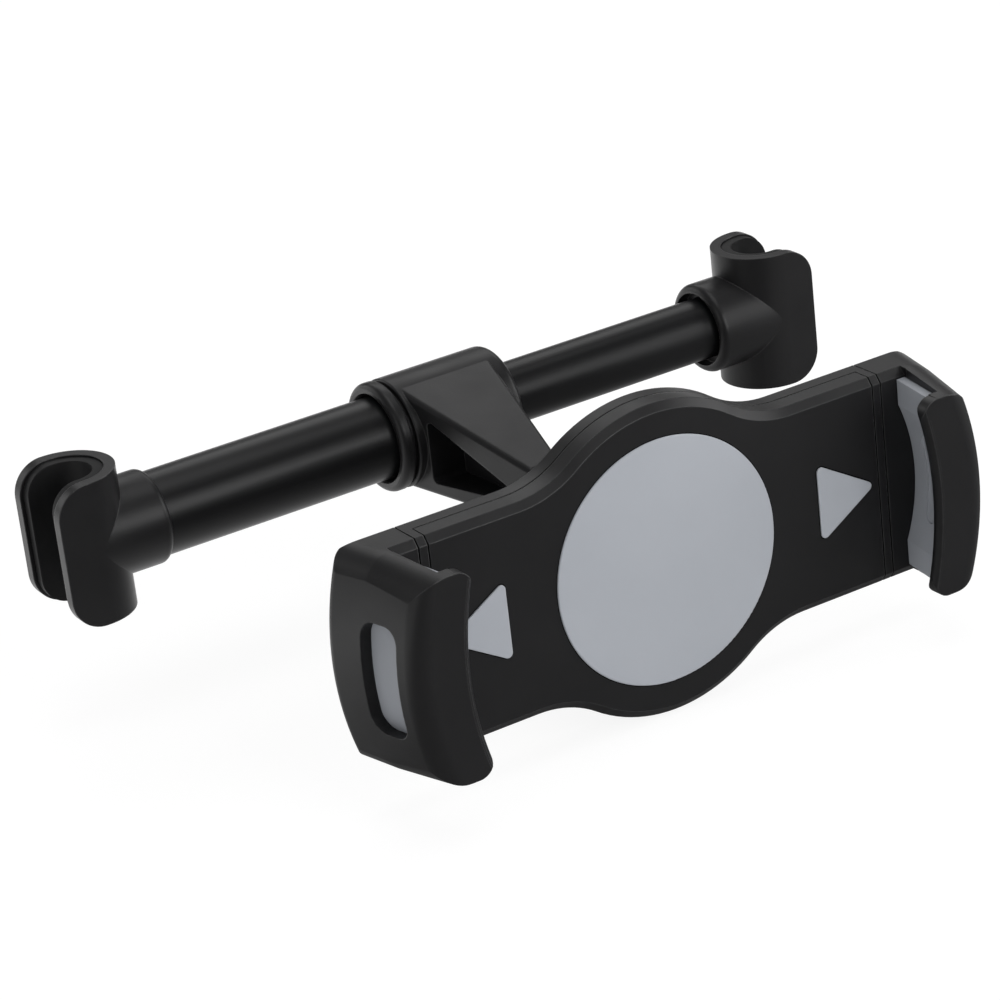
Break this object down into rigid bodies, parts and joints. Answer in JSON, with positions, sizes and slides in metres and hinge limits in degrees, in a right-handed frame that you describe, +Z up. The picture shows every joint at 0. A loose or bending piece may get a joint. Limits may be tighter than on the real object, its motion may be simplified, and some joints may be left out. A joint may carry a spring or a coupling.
{
  "type": "headrest tablet mount",
  "caption": "Telescoping bar that hooks on two headrest posts, with a tapered arm, ball joint and padded spring-loaded tablet holder with two sliding jaws.",
  "frame": {"origin": "on the axis of the telescoping bar, midway between the two headrest posts with the bar pushed right out, in the middle of the arm's housing", "axes": "+X along the bar towards the sliding tube, +Y towards the headrest, so the tablet faces -Y, +Z up along the headrest posts"},
  "size_m": [0.218, 0.1315, 0.0764],
  "materials": {
    "satin_black": "satin",
    "tube_black": "satin",
    "slider_black": "satin",
    "black_rubber": "matt",
    "grey_silicone": "matt",
    "nylon": "satin",
    "screw_steel": "dark zinc",
    "spring_steel": "drawn wire"
  },
  "bodies": {
    "bar": {"left_hook": "satin_black", "left_hook_liner": "black_rubber", "left_tube": "tube_black", "left_spring_seat": "nylon", "left_hook_screw": "screw_steel", "arm_housing": "satin_black", "housing_ring": "satin_black", "tube_bush": "nylon", "housing_screws": "screw_steel", "bar_spring": "spring_steel"},
    "slide_tube": {"right_hook": "satin_black", "right_hook_liner": "black_rubber", "right_tube": "tube_black", "right_spring_seat": "nylon", "guide_bush": "nylon", "right_hook_screw": "screw_steel"},
    "joint_seat": {"ball_seat": "nylon"},
    "joint_ring": {"ball_ring": "nylon"},
    "holder": {"back_cover": "satin_black", "front_cover": "satin_black", "round_pad": "grey_silicone", "left_triangle_pad": "grey_silicone", "right_triangle_pad": "grey_silicone", "cover_screws": "screw_steel", "pinion_screw": "screw_steel", "left_jaw_spring": "spring_steel", "right_jaw_spring": "spring_steel"},
    "nut": {"clamp_nut": "satin_black"},
    "drive_pinion": {"pinion": "nylon"},
    "jaw_left": {"left_jaw": "satin_black", "left_slider": "slider_black", "left_jaw_pad": "grey_silicone", "left_jaw_screws": "screw_steel"},
    "jaw_right": {"right_jaw": "satin_black", "right_slider": "slider_black", "right_jaw_pad": "grey_silicone", "right_jaw_screws": "screw_steel"}
  },
  "joints": [
    {"name": "bar_slide", "type": "slide", "parent": "bar", "child": "slide_tube", "axis": [-1, 0, 0], "range_m": [0, 0.06], "stiffness_N_per_m": 150, "springref_m": -0.03, "deforming": ["bar_spring"]},
    {"name": "holder_pan", "type": "hinge", "parent": "bar", "child": "joint_seat", "pos_m": [0, -0.069, -0.007], "axis": [0, 0, 1], "range_deg": [-20, 20]},
    {"name": "holder_tilt", "type": "hinge", "parent": "joint_seat", "child": "joint_ring", "pos_m": [0, -0.069, -0.007], "axis": [1, 0, 0], "range_deg": [-20, 20]},
    {"name": "holder_spin", "type": "hinge", "parent": "joint_ring", "child": "holder", "pos_m": [0, -0.069, -0.007], "axis": [0, 1, 0], "continuous": true},
    {"name": "nut_turn", "type": "hinge", "parent": "holder", "child": "nut", "pos_m": [0, -0.069, -0.007], "axis": [0, 1, 0], "range_deg": [0, 90]},
    {"name": "left_jaw_slide", "type": "slide", "parent": "holder", "child": "jaw_left", "axis": [-1, 0, 0], "range_m": [0, 0.04], "stiffness_N_per_m": 60, "springref_m": -0.03, "deforming": ["left_jaw_spring"]},
    {"name": "right_jaw_slide", "type": "slide", "parent": "holder", "child": "jaw_right", "axis": [1, 0, 0], "range_m": [0, 0.04], "stiffness_N_per_m": 60, "springref_m": -0.03, "deforming": ["right_jaw_spring"]},
    {"name": "pinion_spin", "type": "hinge", "parent": "holder", "child": "drive_pinion", "pos_m": [0, -0.09355, -0.007], "axis": [0, 1, 0], "range_deg": [-330, 0]}
  ],
  "couplings": [
    {"joint": "right_jaw_slide", "follows": "left_jaw_slide", "ratio": 1},
    {"joint": "pinion_spin", "follows": "left_jaw_slide", "rad_per_m": -142.86}
  ]
}
